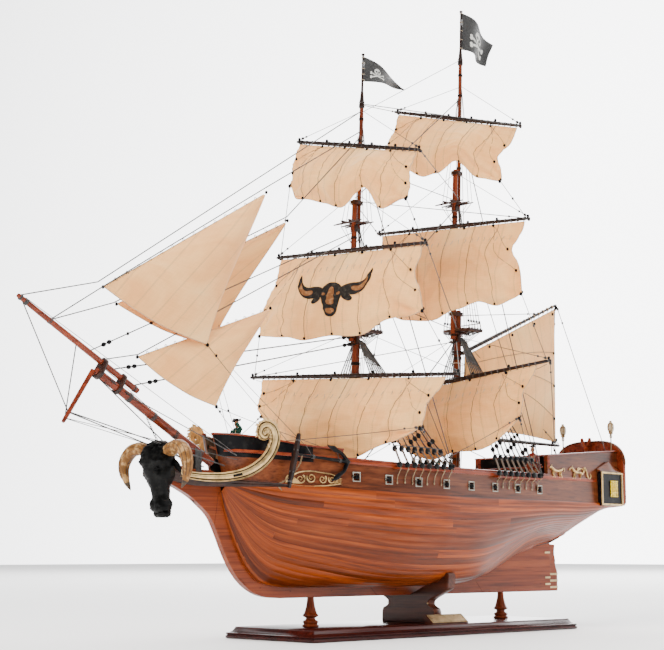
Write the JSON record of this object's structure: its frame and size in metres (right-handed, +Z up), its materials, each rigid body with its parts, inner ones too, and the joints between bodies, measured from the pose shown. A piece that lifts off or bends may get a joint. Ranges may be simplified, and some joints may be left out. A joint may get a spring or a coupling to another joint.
{
  "type": "model sailing ship",
  "caption": "Two-masted display model of a sailing ship with square and fore-and-aft sails, standing rigging and a bull figurehead, resting on a moulded wooden stand",
  "frame": {"origin": "centre of the stand's underside", "axes": "+X towards the bow, +Y to port, +Z up"},
  "size_m": [0.8753, 0.2799, 0.754],
  "materials": {
    "stand_mahogany": "gloss varnish",
    "turned_mahogany": "gloss varnish",
    "dark_walnut": "satin varnish",
    "brass_plate": "brushed, blank",
    "keel_wood": "satin varnish",
    "hull_planking": "gloss varnish over planks",
    "strake_wood": "gloss varnish",
    "band_walnut": "gloss varnish",
    "deck_planking": "satin varnish over narrow planks",
    "yellow_paint": "gloss",
    "bronze": "dark cast bronze",
    "pewter": "dull cast",
    "black_paint": "satin",
    "channel_wood": "satin varnish",
    "black_cord": "twisted cord",
    "mast_wood": "gloss varnish",
    "flag_cloth": "printed cotton",
    "horn": "ribbed horn paint",
    "gilt": "antique gold paint",
    "figure_paint": "painted resin",
    "sailcloth": "plain woven cotton",
    "yard_wood": "near-black stain"
  },
  "bodies": {
    "stand": {"stand_base": "stand_mahogany", "pedestals": "turned_mahogany", "cradle_board": "dark_walnut", "plate_block": "dark_walnut", "name_plate": "brass_plate"},
    "ship": {"keel_and_stem": "keel_wood", "hull_shell": "hull_planking", "wales": "strake_wood", "port_bulwark": "band_walnut", "starboard_bulwark": "band_walnut", "cap_rails": "strake_wood", "decks": "deck_planking", "transom": "band_walnut", "quarter_galleries": "band_walnut", "gallery_windows": "yellow_paint", "stern_lanterns": "bronze", "gunport_frames": "pewter", "gun_barrels": "black_paint", "channels": "channel_wood", "chainplates": "bronze", "shrouds": "black_cord", "standing_rigging": "black_cord", "fore_lower_mast": "mast_wood", "fore_upper_mast": "mast_wood", "main_lower_mast": "mast_wood", "main_upper_mast": "mast_wood", "tops": "dark_walnut", "flags": "flag_cloth", "bowsprit": "mast_wood", "jib_boom": "mast_wood", "bowsprit_cap": "dark_walnut", "dolphin_striker": "mast_wood", "figurehead": "black_paint", "figurehead_horns": "horn", "head_scrolls": "gilt", "gilt_ornaments": "gilt", "anchors": "black_paint", "deck_figures": "figure_paint", "deck_fittings": "channel_wood", "outer_jib": "sailcloth", "inner_jib": "sailcloth", "staysail": "sailcloth", "running_rigging": "black_cord"},
    "rudder_body": {"rudder": "keel_wood"},
    "wheel_body": {"helm_wheel": "channel_wood"},
    "fore_course_body": {"fore_course_yard": "yard_wood", "fore_course_sail": "sailcloth"},
    "fore_topsail_body": {"fore_topsail_yard": "yard_wood", "fore_topsail": "sailcloth"},
    "fore_topgallant_body": {"fore_topgallant_yard": "yard_wood", "fore_topgallant_sail": "sailcloth"},
    "main_course_body": {"main_course_yard": "yard_wood", "main_course_sail": "sailcloth"},
    "main_topsail_body": {"main_topsail_yard": "yard_wood", "main_topsail": "sailcloth"},
    "main_topgallant_body": {"main_topgallant_yard": "yard_wood", "main_topgallant_sail": "sailcloth"},
    "spanker_body": {"spanker_spars": "yard_wood", "spanker_sail": "sailcloth"}
  },
  "joints": [
    {"name": "ship_lift", "type": "slide", "parent": "stand", "child": "ship", "axis": [0, 0, 1], "range_m": [0, 0.12]},
    {"name": "fore_course_brace", "type": "hinge", "parent": "ship", "child": "fore_course_body", "pos_m": [0.0891, 0, 0.283], "axis": [-0.0424, 0, 0.9991], "range_deg": [-20, 0], "deforming": ["running_rigging"]},
    {"name": "fore_topsail_brace", "type": "hinge", "parent": "ship", "child": "fore_topsail_body", "pos_m": [0.09142, 0, 0.424], "axis": [-0.0424, 0, 0.9991], "range_deg": [-20, 0], "deforming": ["running_rigging"]},
    {"name": "fore_topgallant_brace", "type": "hinge", "parent": "ship", "child": "fore_topgallant_body", "pos_m": [0.0797, 0, 0.547], "axis": [-0.0424, 0, 0.9991], "range_deg": [-20, 0], "deforming": ["running_rigging"]},
    {"name": "main_course_brace", "type": "hinge", "parent": "ship", "child": "main_course_body", "pos_m": [-0.0828, 0, 0.291], "axis": [-0.0374, 0, 0.9993], "range_deg": [-20, 0], "deforming": ["running_rigging"]},
    {"name": "main_topsail_brace", "type": "hinge", "parent": "ship", "child": "main_topsail_body", "pos_m": [-0.08145, 0, 0.477], "axis": [-0.0374, 0, 0.9993], "range_deg": [-20, 0], "deforming": ["running_rigging"]},
    {"name": "main_topgallant_brace", "type": "hinge", "parent": "ship", "child": "main_topgallant_body", "pos_m": [-0.09304, 0, 0.613], "axis": [-0.0374, 0, 0.9993], "range_deg": [-20, 0], "deforming": ["running_rigging"]},
    {"name": "spanker_swing", "type": "hinge", "parent": "ship", "child": "spanker_body", "pos_m": [-0.08037, 0, 0.226], "axis": [-0.0374, 0, 0.9993], "range_deg": [-18, 18], "deforming": ["running_rigging"]},
    {"name": "rudder_turn", "type": "hinge", "parent": "ship", "child": "rudder_body", "pos_m": [-0.252, 0, 0.07], "axis": [0, 0, 1], "range_deg": [-30, 30]},
    {"name": "wheel_spin", "type": "hinge", "parent": "ship", "child": "wheel_body", "pos_m": [-0.226, 0, 0.197], "axis": [1, 0, 0], "continuous": true}
  ],
  "couplings": [
    {"joint": "fore_topsail_brace", "follows": "fore_course_brace", "ratio": 1},
    {"joint": "fore_topgallant_brace", "follows": "fore_course_brace", "ratio": 1},
    {"joint": "main_topsail_brace", "follows": "main_course_brace", "ratio": 1},
    {"joint": "main_topgallant_brace", "follows": "main_course_brace", "ratio": 1}
  ]
}
